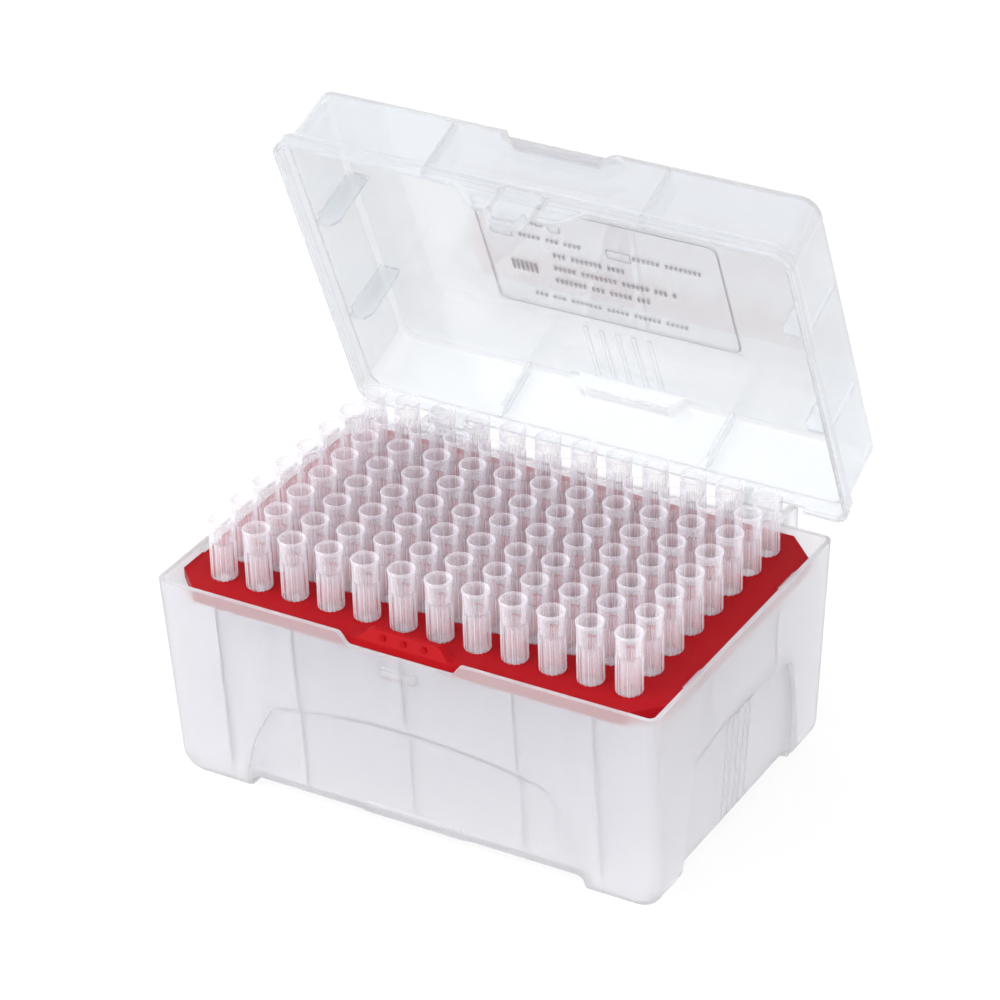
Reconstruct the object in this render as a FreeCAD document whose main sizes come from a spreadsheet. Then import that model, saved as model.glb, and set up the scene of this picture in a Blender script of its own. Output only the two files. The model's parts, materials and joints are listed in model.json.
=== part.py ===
import FreeCAD, Part
import math
import os

import Sketcher

# A hinged box for 96 filter pipette tips.
#
# Frame: origin at the centre of the base in plan, on the plane of the feet.  X runs along the long
# walls, Y from the front (latch) to the back (hinge), Z up.  All lengths are millimetres.
# The lid is modelled closed, in the same frame, and its placement swings it open about the hinge.

os.makedirs("parts", exist_ok=True)
doc = FreeCAD.newDocument("pipette_tip_box")

DRIVING_SIZES = [
    # base tray
    ("rim_length", 121.8, "base: outside length at the rim"),
    ("rim_width", 83.4, "base: outside width at the rim"),
    ("rim_height", 50.2, "base: rim above the feet"),
    ("end_draft", 0.0257, "base: inward lean of the short walls, mm per mm of depth"),
    ("side_draft", 0.072, "base: inward lean of the long walls, mm per mm of depth"),
    ("base_wall", 1.15, "base: wall and floor thickness"),
    ("base_corner", 2.5, "base: outside radius of the upright corners"),
    ("end_bottom_round", 5.7, "base: rounding where the short walls meet the bottom"),
    ("foot_height", 3.2, "base: clear height under the floor between the feet"),
    ("foot_round", 3.0, "base: rounding of the feet towards the openings between them"),
    ("long_foot_gap", 42.0, "base: half of the opening between two feet on a long side"),
    ("short_foot_gap", 27.0, "base: half of the opening between two feet on a short side"),
    ("recess_depth", 1.0, "base: depth of the arched panels"),
    ("panel_overlap", 0.5, "base: how far the inner side of a panel reaches into the floor"),
    ("arch_corner", 3.2, "base: rounding of the shoulders of the arched panels"),
    ("front_arch_foot", 42.0, "base: half width of the long arched panel at its bottom"),
    ("front_arch_shoulder", 34.0, "base: half width of the long arched panel at its shoulders"),
    ("front_arch_drop", 25.2, "base: shoulders of the long arched panel below the rim"),
    ("front_arch_rise", 3.2, "base: crown of the long arched panel above its shoulders"),
    ("front_arch_swell", 2.4, "base: outward swell of the sides of the long arched panel"),
    ("end_arch_foot", 27.0, "base: half width of the short arched panel at its bottom"),
    ("end_arch_shoulder", 23.0, "base: half width of the short arched panel at its shoulders"),
    ("end_arch_drop", 20.6, "base: shoulders of the short arched panel below the rim"),
    ("end_arch_rise", 1.8, "base: crown of the short arched panel above its shoulders"),
    ("end_arch_swell", 1.4, "base: outward swell of the sides of the short arched panel"),
    ("plinth_half", 13.2, "base: half width of the raised plinth at the bottom of a long panel"),
    ("plinth_height", 2.8, "base: height of that plinth"),
    ("plinth_proud", 0.4, "base: how far the plinth and the flutes stand out of their panels"),
    ("flute_pitch", 2.6, "base: spacing of the grip flutes on the short panels"),
    ("flute_width", 1.3, "base: width of one grip flute"),
    ("flute_length", 26.0, "base: height of the grip flutes"),
    ("flute_drop", 20.2, "base: top of the grip flutes below the rim"),
    ("rib_thickness", 0.9, "base and lid: thickness of the inner ribs"),
    ("rib_depth", 2.3, "base: how far the inner ribs stand out of the wall"),
    ("inner_rib_place", 27.0, "base: inner pair of ribs on a long wall, from the middle"),
    ("outer_rib_place", 46.0, "base: outer pair of ribs on a long wall, from the middle"),
    ("end_rib_place", 15.5, "base and lid: ribs on a short wall, from the middle"),
    ("notch_half", 12.3, "base: half width of the flat of the thumb notch in the front rim"),
    ("notch_depth", 2.9, "base: depth of the thumb notch"),
    ("notch_slope", 2.9, "base: run of the sloped ends of the thumb notch"),
    ("catch_half", 4.0, "base: half length of the catch bar under the rim"),
    ("catch_drop", 5.6, "base: top of the catch bar below the rim"),
    ("catch_height", 2.1, "base: height of the catch bar"),
    ("catch_proud", 1.25, "base: how far the catch bar stands out"),
    ("clip_place", 22.0, "base: rack clips from the middle of a short wall"),
    ("clip_length", 7.0, "base: length of a rack clip"),
    ("clip_reach", 1.2, "base: how far a clip reaches over the rack"),
    ("clip_gap", 0.1, "base: clearance from a clip to the rack"),
    # rack plate
    ("rack_length", 118.4, "rack: length"),
    ("rack_width", 80.0, "rack: width"),
    ("rack_corner", 7.2, "rack: cut-off of the corners"),
    ("rack_drop", 1.2, "rack: top face below the rim"),
    ("rack_skirt", 2.5, "rack: height over the skirt"),
    ("rack_sheet", 1.2, "rack: thickness of the top sheet"),
    ("skirt_wall", 1.0, "rack: thickness of the skirt"),
    ("tip_pitch", 9.0, "rack: spacing of the tips both ways"),
    ("hole_clearance", 0.2, "rack: hole wider than the tip's shank, on each side"),
    ("tab_crest", 2.4, "rack: crest of the thumb tab above the top face"),
    ("tab_crest_half", 7.7, "rack: half width of the crest of the thumb tab"),
    ("tab_foot_half", 11.9, "rack: half width of the thumb tab at its foot"),
    ("tab_sheet", 1.4, "rack: thickness of the thumb tab"),
    ("tab_run", 1.4, "rack: how far the tab's sloped face comes forward on its way down"),
    ("tab_lip", 1.7, "rack: drop of the tab's front lip below the top face"),
    ("grip_radius", 0.75, "rack: radius of a grip bump on the tab"),
    ("grip_pitch", 5.0, "rack: spacing of the grip bumps"),
    ("grip_proud", 1.12, "rack: front of the grip bumps before the tab's upright sheet"),
    # tips and filters
    ("tip_collar", 6.0, "tip: collar across its corners"),
    ("tip_stand", 14.4, "tip: collar height above the rack"),
    ("tip_wall", 0.4, "tip: wall of the collar and shank"),
    ("shank_top", 4.9, "tip: shank across its corners, under the collar"),
    ("shank_end", 1.0, "tip: shank across its corners, at the point"),
    ("point_wall", 0.2, "tip: wall at the point"),
    ("tip_length", 56.0, "tip: whole length"),
    ("filter_depth", 18.4, "filter: top face below the mouth of the tip"),
    ("filter_length", 7.0, "filter: length"),
    # lid
    ("lid_gap", 0.3, "lid: clearance round the rim of the base"),
    ("lid_seat_gap", 0.15, "lid: clearance above the rim of the base"),
    ("flange_wall", 0.9, "lid: wall of the flange"),
    ("flange_overlap", 3.28, "lid: flange edge below the rim of the base"),
    ("flange_slope", 1.1, "lid: height of the slope from flange to wall"),
    ("lid_height", 16.06, "lid: top above the rim of the base"),
    ("lid_wall", 1.2, "lid: wall and top thickness"),
    ("lid_shrink", 0.9, "lid: wall inside the flange, on each side"),
    ("bead_height", 1.2, "lid: height of the bead along the flange edge"),
    ("bead_proud", 0.25, "lid: how far that bead stands out"),
    ("flange_step", 0.15, "lid: level step between the flange's slope and the wall"),
    ("lid_draft", 0.033, "lid: inward lean of the walls, mm per mm"),
    ("flange_corner", 4.2, "lid: outside radius of the flange corners"),
    ("lid_corner", 5.2, "lid: outside radius of the upper corners"),
    ("lid_edge_round", 1.8, "lid: rounding of the top edge"),
    ("lid_notch_half", 10.5, "lid: half width of the stacking notch at its floor"),
    ("lid_notch_slope", 3.3, "lid: run of the notch's sloped ends"),
    ("lid_notch_height", 3.8, "lid: depth of the stacking notch below the top"),
    ("lid_notch_reach", 3.0, "lid: how far the stacking notch is set in"),
    ("lid_rib_place", 26.0, "lid: hold-down ribs on the long walls, from the middle"),
    ("end_blade_reach", 4.9, "lid: depth of a hold-down rib on a short wall, from inside the rim"),
    ("side_blade_reach", 2.1, "lid: depth of a hold-down rib on a long wall, from inside the rim"),
    ("blade_slant_run", 1.35, "lid: cut-off of a rib's inner corner, across"),
    ("blade_slant_rise", 1.9, "lid: cut-off of a rib's inner corner, up"),
    ("hold_down_gap", 0.35, "lid: clearance from a hold-down end to the rack"),
    ("ridge_pitch", 4.05, "lid: spacing of the grip ridges on top"),
    ("ridge_width", 1.0, "lid: width of a grip ridge"),
    ("ridge_proud", 0.4, "lid: height of a grip ridge"),
    ("ridge_length", 17.8, "lid: length of the grip ridges"),
    ("apron_half", 9.4, "lid: half width of the front apron at its lower edge"),
    ("apron_slope", 7.4, "lid: run of the swept ends of the apron"),
    ("apron_drop", 4.9, "lid: apron below the flange edge"),
    ("latch_half", 4.65, "lid: half width of the latch tongue"),
    ("latch_slot", 1.2, "lid: width of the slots beside the tongue"),
    ("latch_slot_rise", 2.0, "lid: top of the slots above the flange edge"),
    ("latch_drop", 8.8, "lid: end of the tongue below the flange edge"),
    ("latch_gap", 0.3, "lid: clearance between the tongue and the catch bar"),
    ("latch_lip", 1.6, "lid: how far the thumb lip stands out at the end of the tongue"),
    ("latch_lip_height", 0.9, "lid: thickness of that lip"),
    ("latch_lip_leg", 3.2, "lid: height of the lip's upright legs beside the tongue's end"),
    ("latch_round", 2.0, "lid: rounding of the tongue's end"),
    ("back_relief_half", 51.0, "lid: half width of the relief in the back flange"),
    ("back_relief_rise", 1.2, "lid: height of the relief in the back flange"),
    # hinge
    ("hinge_back", 6.13, "hinge: pin axis behind the rim"),
    ("hinge_drop", 3.94, "hinge: pin axis below the rim"),
    ("hinge_place", 40.0, "hinge: middle of each hinge from the middle of the box"),
    ("knuckle_length", 9.2, "hinge: length of a lid knuckle"),
    ("knuckle_radius", 2.6, "hinge: outside radius of a lid knuckle"),
    ("knuckle_mouth", 1.9, "hinge: open mouth of a lid knuckle"),
    ("pin_radius", 1.2, "hinge: radius of a base pin"),
    ("pin_gap", 0.06, "hinge: radial running clearance on the pin"),
    ("ear_thickness", 2.0, "hinge: thickness of a base ear"),
    ("ear_gap", 0.4, "hinge: side clearance between ear and knuckle"),
    ("ear_root", 7.5, "hinge: foot of an ear on the wall, below the pin axis"),
    ("stop_gap", 0.2, "hinge: gap left between ear and flange at the stop"),
    ("stop_place", 2.4, "hinge: where the ear's stop meets the flange, above the pin axis"),
    ("stop_angle", 120.0, "hinge: opening at the stop, degrees"),
    ("open_angle", 67.7, "hinge: opening in which the lid is left, degrees"),
    # label
    ("label_length", 61.5, "label: length"),
    ("label_width", 35.2, "label: width"),
    ("label_sheet", 0.15, "label: thickness"),
    ("label_shift", 1.6, "label: shift towards the right"),
]
TIP_COLUMNS = 12
TIP_ROWS = 8
FLATS = 6
ARC_BOW = 1 - math.cos(math.pi / 4)
SWEEP_STEPS = 6
ARM_RISE = 0.8
MARGIN = 5.0
NEAR = 0.01

sheet = doc.addObject("Spreadsheet::Sheet", "Dimensions")
for row, (alias, value, note) in enumerate(DRIVING_SIZES, start=1):
    sheet.set(f"A{row}", note)
    sheet.set(f"B{row}", str(value))
    sheet.setAlias(f"B{row}", alias)
doc.recompute()


class Size:
    """A length that carries its value and the sheet formula that gives it."""

    def __init__(self, formula, value):
        self.formula = formula
        self.value = value

    def __add__(self, other):
        other = as_size(other)
        return Size(f"({self.formula} + {other.formula})", self.value + other.value)

    def __sub__(self, other):
        other = as_size(other)
        return Size(f"({self.formula} - {other.formula})", self.value - other.value)

    def __mul__(self, other):
        other = as_size(other)
        return Size(f"({self.formula} * {other.formula})", self.value * other.value)

    def __truediv__(self, other):
        other = as_size(other)
        return Size(f"({self.formula} / {other.formula})", self.value / other.value)

    def __rsub__(self, other):
        return as_size(other) - self

    def __neg__(self):
        return Size(f"(-1 * {self.formula})", -self.value)

    __radd__ = __add__
    __rmul__ = __mul__


def as_size(value):
    if isinstance(value, Size):
        return value
    return Size(f"({float(value):.9f})", float(value))


def cosine(angle):
    return Size(f"cos({angle.formula})", math.cos(math.radians(angle.value)))


def sine(angle):
    return Size(f"sin({angle.formula})", math.sin(math.radians(angle.value)))


class Sizes:
    """The driving sizes of the sheet, by name."""


size = Sizes()
for alias, value, note in DRIVING_SIZES:
    setattr(size, alias, Size(f"Dimensions.{alias}", float(sheet.get(alias))))


def bind(item, prop, amount):
    item.setExpression(prop, as_size(amount).formula)


def new_body(label):
    body = doc.addObject("PartDesign::Body", label)
    body.Label = label
    return body


def origin_plane(body, role):
    return [item for item in body.Origin.OriginFeatures if item.Role == role][0]


def new_sketch(body, name, role, level=0.0, slope=None):
    """Sketch on an origin plane, moved along the plane's normal and leaned by a slope."""
    item = body.newObject("Sketcher::SketchObject", name)
    item.AttachmentSupport = [(origin_plane(body, role), "")]
    item.MapMode = "FlatFace"
    if slope is not None:
        lean = math.degrees(math.atan(slope.value))
        turn = FreeCAD.Rotation(FreeCAD.Vector(1, 0, 0), lean)
        item.AttachmentOffset = FreeCAD.Placement(FreeCAD.Vector(0, 0, as_size(level).value), turn)
        item.setExpression("AttachmentOffset.Rotation.Angle", f"atan({slope.formula})")
    bind(item, "AttachmentOffset.Base.z", level)
    return item


def arc_piece(start, end, bow):
    """Arc from start to end that swells to the right of the way from one to the other."""
    chord = end - start
    left = FreeCAD.Vector(-chord.y, chord.x, 0) / chord.Length
    radius = chord.Length ** 2 / (8 * bow) + bow / 2
    centre = (start + end) / 2 + left * (radius - bow)
    first = math.atan2(start.y - centre.y, start.x - centre.x)
    last = math.atan2(end.y - centre.y, end.x - centre.x)
    round_path = Part.Circle(centre, FreeCAD.Vector(0, 0, 1), radius)
    return Part.ArcOfCircle(round_path, first, last)


def outline(item, corners):
    """Closed anticlockwise outline; a third value of a corner bows the edge that leaves it outwards."""
    ends = [(as_size(corner[0]), as_size(corner[1])) for corner in corners]
    points = [FreeCAD.Vector(x.value, y.value, 0) for x, y in ends]
    first = item.GeometryCount
    count = len(corners)
    for number, corner in enumerate(corners):
        start, end = points[number], points[(number + 1) % count]
        if len(corner) == 3:
            item.addGeometry(arc_piece(start, end, as_size(corner[2]).value), False)
        else:
            item.addGeometry(Part.LineSegment(start, end), False)
    for number in range(count):
        edge = first + number
        following = first + (number + 1) % count
        item.addConstraint(Sketcher.Constraint("Coincident", edge, 2, following, 1))
        for kind, amount in zip(("DistanceX", "DistanceY"), ends[number]):
            held = item.addConstraint(Sketcher.Constraint(kind, -1, 1, edge, 1, amount.value))
            item.setExpression(f"Constraints[{held}]", amount.formula)
        if len(corners[number]) == 3:
            far = ends[(number + 1) % count]
            run, rise = far[0] - ends[number][0], far[1] - ends[number][1]
            bow = as_size(corners[number][2])
            radius = (run * run + rise * rise) / (8 * bow) + bow / 2
            held = item.addConstraint(Sketcher.Constraint("Radius", edge, radius.value))
            item.setExpression(f"Constraints[{held}]", radius.formula)


def box_outline(item, left, low, right, high):
    outline(item, [(left, low), (right, low), (right, high), (left, high)])


def rounded_outline(item, half_x, half_y, radius):
    """Rectangle about the origin with round corners."""
    bow = radius * ARC_BOW
    outline(item, [
        (radius - half_x, -half_y), (half_x - radius, -half_y, bow),
        (half_x, radius - half_y), (half_x, half_y - radius, bow),
        (half_x - radius, half_y), (radius - half_x, half_y, bow),
        (-half_x, half_y - radius), (-half_x, radius - half_y, bow),
    ])


def sweep(start, end):
    """Points of an S-shaped edge from one corner to another, level at both ends."""
    points = []
    for step in range(SWEEP_STEPS + 1):
        along = step / SWEEP_STEPS
        climb = (1 - math.cos(math.pi * along)) / 2
        points.append((start[0] + (end[0] - start[0]) * along,
                       start[1] + (end[1] - start[1]) * climb))
    return points


def swept_outline(foot, low, slope, high, back):
    """Trapezium about the middle whose sides sweep from the low edge out to the high one."""
    right = sweep((foot, low), (foot + slope, high))
    left = [(-across, level) for across, level in right][::-1]
    return left + right + [(foot + slope, back), (-(foot + slope), back)]


def hexagon_outline(item, centre_x, centre_y, across):
    """Regular outline of FLATS sides, given across its corners."""
    corners = []
    for number in range(FLATS):
        angle = 2 * math.pi * number / FLATS
        corners.append((centre_x + across * (math.cos(angle) / 2),
                        centre_y + across * (math.sin(angle) / 2)))
    outline(item, corners)


def finish(body, feature):
    body.Tip = feature
    doc.recompute()
    return feature


def pad(body, item, length, backwards=False):
    feature = body.newObject("PartDesign::Pad", f"{item.Name}_pad")
    feature.Profile = item
    feature.Reversed = backwards
    bind(feature, "Length", length)
    return finish(body, feature)


def pocket(body, item, length, forwards=False):
    """Cut against the sketch's normal, or along it; it must take material away."""
    before = body.Shape.Volume
    feature = body.newObject("PartDesign::Pocket", f"{item.Name}_cut")
    feature.Profile = item
    feature.Reversed = forwards
    bind(feature, "Length", length)
    finish(body, feature)
    if body.Shape.Volume >= before:
        raise RuntimeError(f"{feature.Name} cuts nothing")
    return feature


def spans(low, high, facing=None):
    """Choice of faces or edges that run from one height to another, facing one way or any."""
    def chosen(piece):
        box = piece.BoundBox
        if facing == "X" and box.XLength > NEAR or facing == "Y" and box.YLength > NEAR:
            return False
        return abs(box.ZMin - as_size(low).value) < NEAR and abs(box.ZMax - as_size(high).value) < NEAR
    return chosen


def lean(body, name, level, slope, chosen, forwards=False):
    """Lean the upright faces for which chosen(face) holds about the flat face at a level.

    The material draws back going up, or comes forwards.
    """
    base = body.Tip
    faces = [f"Face{number}" for number, face in enumerate(base.Shape.Faces, start=1) if chosen(face)]
    flat = spans(level, level)
    still = [f"Face{number}" for number, face in enumerate(base.Shape.Faces, start=1) if flat(face)]
    feature = body.newObject("PartDesign::Draft", name)
    feature.Base = (base, faces)
    feature.NeutralPlane = (base, still[:1])
    feature.Reversed = forwards
    feature.setExpression("Angle", f"atan({slope.formula})")
    return finish(body, feature)


def chamfer(body, name, inwards, down, chosen):
    """Slope the edges for which chosen(edge) holds, by a run inwards and a drop."""
    base = body.Tip
    edges = [f"Edge{number}" for number, edge in enumerate(base.Shape.Edges, start=1) if chosen(edge)]
    feature = body.newObject("PartDesign::Chamfer", name)
    feature.Base = (base, edges)
    feature.ChamferType = "Two distances"
    bind(feature, "Size", down)
    bind(feature, "Size2", inwards)
    return finish(body, feature)


def fillet(body, name, radius, chosen):
    """Round the edges of the body so far for which chosen(edge) holds."""
    base = body.Tip
    edges = [f"Edge{number}" for number, edge in enumerate(base.Shape.Edges, start=1) if chosen(edge)]
    feature = body.newObject("PartDesign::Fillet", name)
    feature.Base = (base, edges)
    bind(feature, "Radius", radius)
    return finish(body, feature)


def mirror(body, name, originals, role):
    feature = body.newObject("PartDesign::Mirrored", name)
    feature.Originals = originals
    feature.MirrorPlane = (origin_plane(body, role), [""])
    return finish(body, feature)


# Places that several pieces share
half_length = size.rim_length / 2
half_width = size.rim_width / 2
rim = size.rim_height
floor_top = size.foot_height + size.base_wall
rack_top = rim - size.rack_drop
rack_bottom = rack_top - size.rack_skirt
hinge_y = half_width + size.hinge_back
hinge_z = rim - size.hinge_drop
flange_half_x = half_length + size.lid_gap + size.flange_wall
flange_half_y = half_width + size.lid_gap + size.flange_wall
flange_edge = rim - size.flange_overlap
flange_top = rim
lid_top = rim + size.lid_height
lid_seat = rim + size.lid_seat_gap
wall_start = flange_top + size.flange_slope


def wall_x(z):
    """Outside of the short walls at a height."""
    return half_length - size.end_draft * (rim - z)


def wall_y(z):
    """Outside of the long walls at a height."""
    return half_width - size.side_draft * (rim - z)


# Base -------------------------------------------------------------------------------------------


def base_shell(body):
    """Leaning outer block with round bottom ends, then its cavity."""
    bow = size.end_bottom_round * ARC_BOW
    low_x = wall_x(as_size(0))
    turn_x = low_x - size.end_bottom_round
    turn_z = size.end_bottom_round
    slab = new_sketch(body, "base_floor_slab", "XY_Plane")
    box_outline(slab, -turn_x, -wall_y(as_size(0)), turn_x, wall_y(as_size(0)))
    pad(body, slab, floor_top)
    end_view = new_sketch(body, "base_end_to_end", "XZ_Plane", half_width)
    outline(end_view, [
        (-turn_x, 0), (turn_x, 0, bow), (wall_x(turn_z), turn_z), (half_length, rim),
        (-half_length, rim), (-wall_x(turn_z), turn_z, bow),
    ])
    pad(body, end_view, size.rim_width, backwards=True)
    side_view = new_sketch(body, "base_side_lean", "YZ_Plane", -half_length - MARGIN)
    reach = half_width + MARGIN
    for side in (1, -1):
        corners = [(side * wall_y(as_size(0)), 0), (side * half_width, rim),
                   (side * half_width, rim + MARGIN), (side * reach, rim + MARGIN),
                   (side * reach, -MARGIN), (side * wall_y(as_size(0)), -MARGIN)]
        outline(side_view, corners if side < 0 else corners[::-1])
    pocket(body, side_view, size.rim_length + 2 * MARGIN, forwards=True)

    def upright_corner(edge):
        box = edge.BoundBox
        near_x = box.XMin > low_x.value - 2 * turn_z.value or box.XMax < 2 * turn_z.value - low_x.value
        return near_x and box.ZLength > 1 and box.YLength > 0.05

    fillet(body, "base_corners", size.base_corner, upright_corner)
    inner_x = wall_x(floor_top) - size.base_wall
    inner_y = wall_y(floor_top) - size.base_wall
    cavity = new_sketch(body, "cavity", "XY_Plane", floor_top)
    box_outline(cavity, -inner_x, -inner_y, inner_x, inner_y)
    pocket(body, cavity, rim - floor_top, forwards=True)
    lean(body, "short_wall_draft", floor_top, size.end_draft, spans(floor_top, rim, facing="X"))
    lean(body, "long_wall_draft", floor_top, size.side_draft, spans(floor_top, rim, facing="Y"))
    fillet(body, "cavity_corners", size.base_corner - size.base_wall, spans(floor_top, rim))


def base_ribs(body):
    """Upright ribs that carry the rack, leaning with the walls."""
    for number, place in enumerate((-size.outer_rib_place, -size.inner_rib_place, as_size(0),
                                    size.inner_rib_place, size.outer_rib_place)):
        item = new_sketch(body, f"long_wall_rib_{number}", "YZ_Plane",
                          place - size.rib_thickness / 2)
        for side in (1, -1):
            corners = [(side * (wall_y(z) - depth), z) for z, depth in rib_corners()]
            outline(item, corners if side < 0 else corners[::-1])
        pad(body, item, size.rib_thickness)
    for number, side_place in enumerate((-size.end_rib_place, size.end_rib_place)):
        item = new_sketch(body, f"short_wall_rib_{number}", "XZ_Plane",
                          side_place - size.rib_thickness / 2)
        for side in (1, -1):
            corners = [(side * (wall_x(z) - depth), z) for z, depth in rib_corners()]
            outline(item, corners if side < 0 else corners[::-1])
        pad(body, item, size.rib_thickness)


def rib_corners():
    """Rib outline as height and depth from the outside of the wall, clockwise on the right."""
    root = size.base_wall / 2
    nose = size.base_wall + size.rib_depth
    low = size.foot_height + size.base_wall / 2
    return [(low, root), (low, nose), (rack_bottom, nose), (rack_bottom, root)]


def arched_panel(body, name, role, level, slope, foot, shoulder, shoulder_z, rise, swell):
    """Panel sunk into a wall: the wall is thickened inside, then cut back outside."""
    thick = new_sketch(body, f"{name}_back", role, level, slope)
    grow = size.base_wall
    arch_outline(thick, foot + grow, shoulder + grow, shoulder_z + grow, rise, swell,
                 size.panel_overlap)
    inside = pad(body, thick, size.base_wall, backwards=True)
    face = new_sketch(body, f"{name}_face", role, level, slope)
    arch_outline(face, foot, shoulder, shoulder_z, rise, swell, as_size(-MARGIN))
    outside = pocket(body, face, size.recess_depth + MARGIN, forwards=True)
    return [inside, outside]


def arch_outline(item, foot, shoulder, shoulder_z, rise, swell, low):
    """Arch with swelled sides, round shoulders and a bowed top."""
    turn = size.arch_corner
    bow = turn * ARC_BOW
    side = shoulder + (foot - shoulder) * turn / shoulder_z
    outline(item, [(-foot, low), (foot, low, swell), (side, shoulder_z - turn, bow),
                   (shoulder - turn, shoulder_z, rise), (turn - shoulder, shoulder_z, bow),
                   (-side, shoulder_z - turn, swell)])


def base_panels(body):
    """Arched panels on the four walls, with a plinth on the long ones and flutes on the short."""
    front_level = wall_y(as_size(0)) - size.recess_depth
    front = arched_panel(body, "front_arch", "XZ_Plane", front_level, size.side_draft,
                         size.front_arch_foot, size.front_arch_shoulder,
                         rim - size.front_arch_drop, size.front_arch_rise, size.front_arch_swell)
    plinth = new_sketch(body, "plinth", "XZ_Plane", front_level - size.base_wall / 2,
                        size.side_draft)
    low, high = size.foot_height / 2, size.foot_height + size.plinth_height
    narrow = size.plinth_half - size.plinth_height / 2
    outline(plinth, [(-size.plinth_half, low), (size.plinth_half, low), (narrow, high),
                     (-narrow, high)])
    front.append(pad(body, plinth, size.base_wall / 2 + size.plinth_proud))
    mirror(body, "back_arch", front, "XZ_Plane")

    crown_z = rim - size.end_arch_drop + size.end_arch_rise
    end_level = wall_x(crown_z) - size.recess_depth - size.side_draft * crown_z
    end = arched_panel(body, "end_arch", "YZ_Plane", end_level, size.side_draft,
                       size.end_arch_foot, size.end_arch_shoulder,
                       rim - size.end_arch_drop, size.end_arch_rise, size.end_arch_swell)
    flutes = new_sketch(body, "flutes", "YZ_Plane", end_level - size.base_wall / 2,
                        size.side_draft)
    high = rim - size.flute_drop
    for number in (-2, -1, 0, 1, 2):
        left = size.flute_pitch * number - size.flute_width / 2
        box_outline(flutes, left, high - size.flute_length, left + size.flute_width, high)
    end.append(pad(body, flutes, size.base_wall / 2 + size.plinth_proud))
    mirror(body, "other_end_arch", end, "YZ_Plane")


def base_feet(body):
    """Openings between the feet, and the hollows inside the feet."""
    cuts = (("long_opening", "XZ_Plane", size.long_foot_gap, half_width),
            ("short_opening", "YZ_Plane", size.short_foot_gap, half_length))
    bow = size.foot_round * ARC_BOW
    for name, role, gap, reach in cuts:
        item = new_sketch(body, name, role, reach + MARGIN)
        low = size.foot_height - size.foot_round
        outline(item, [
            (-gap, -MARGIN), (gap, -MARGIN), (gap, low, bow), (gap - size.foot_round, size.foot_height),
            (size.foot_round - gap, size.foot_height, bow), (-gap, low),
        ])
        pocket(body, item, 2 * (reach + MARGIN))
    hollows = new_sketch(body, "foot_hollows", "XY_Plane", floor_top)
    near_x = size.long_foot_gap + size.base_wall
    near_y = size.short_foot_gap + size.base_wall
    far_x = wall_x(as_size(0)) - size.end_bottom_round / 2 - size.base_wall
    far_y = wall_y(as_size(0)) - 2 * size.base_wall
    for left, right in ((-far_x, -near_x), (near_x, far_x)):
        for low, high in ((-far_y, -near_y), (near_y, far_y)):
            box_outline(hollows, left, low, right, high)
    pocket(body, hollows, floor_top - size.base_wall)


def base_rim(body):
    """Thumb notch, catch bar and the clips that hold the rack."""
    notch = new_sketch(body, "thumb_notch", "XZ_Plane", half_width + MARGIN)
    outline(notch, swept_outline(size.notch_half, rim - size.notch_depth, size.notch_slope, rim,
                                 rim + MARGIN))
    pocket(body, notch, MARGIN + 2 * size.base_wall)
    catch_top = rim - size.catch_drop
    catch_face = wall_y(catch_top)
    catch = new_sketch(body, "catch_bar", "XZ_Plane", catch_face - size.base_wall / 2)
    box_outline(catch, -size.catch_half, catch_top - size.catch_height, size.catch_half, catch_top)
    pad(body, catch, size.base_wall / 2 + size.catch_proud)
    inner_face = half_length - size.base_wall
    nose = size.rack_length / 2 - size.clip_reach / 2
    clip_low = rack_top + size.clip_gap
    for number, place in enumerate((-size.clip_place, size.clip_place)):
        item = new_sketch(body, f"clips_{number}", "XZ_Plane", place - size.clip_length / 2)
        root = inner_face + size.base_wall / 2
        outline(item, [(nose, clip_low), (root, clip_low), (root, rim), (inner_face, rim)])
        outline(item, [(-root, clip_low), (-nose, clip_low), (-inner_face, rim), (-root, rim)])
        pad(body, item, size.clip_length)


def stop_corner():
    """Ear corner that meets the lid's flange at the stop, from the pin axis."""
    flange_distance = hinge_y - flange_half_y - size.stop_gap
    along, across = sine(size.stop_angle), cosine(size.stop_angle)
    back = -1 * flange_distance * across + size.stop_place * along
    up = flange_distance * along + size.stop_place * across
    return back, up


def hinge_ears(body):
    """Two ears and a pin at each hinge, behind the back wall."""
    back, up = stop_corner()
    root_low = hinge_z - size.ear_root
    root_y = wall_y(root_low) - size.base_wall / 2
    shelf = hinge_z + size.ear_gap / 2
    front = hinge_y - (hinge_y - flange_half_y) + 2 * size.ear_gap
    profile = [
        (root_y, root_low), (hinge_y - size.knuckle_radius / 2, root_low + size.knuckle_radius),
        (hinge_y + back, hinge_z - size.knuckle_radius), (hinge_y + back, hinge_z + up),
        (hinge_y - size.knuckle_radius, hinge_z + up), (front, hinge_z + size.knuckle_radius / 2),
        (front, shelf), (root_y, shelf),
    ]
    gap_half = size.knuckle_length / 2 + size.ear_gap
    for number, middle in enumerate((-size.hinge_place, size.hinge_place)):
        for side, start in enumerate((middle - gap_half - size.ear_thickness, middle + gap_half)):
            ear = new_sketch(body, f"ear_{number}_{side}", "YZ_Plane", start)
            outline(ear, profile)
            pad(body, ear, size.ear_thickness)
        pin = new_sketch(body, f"pin_{number}", "YZ_Plane",
                         middle - gap_half - size.ear_thickness / 2)
        circle_outline(pin, hinge_y, hinge_z, size.pin_radius)
        pad(body, pin, 2 * gap_half + size.ear_thickness)


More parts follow.
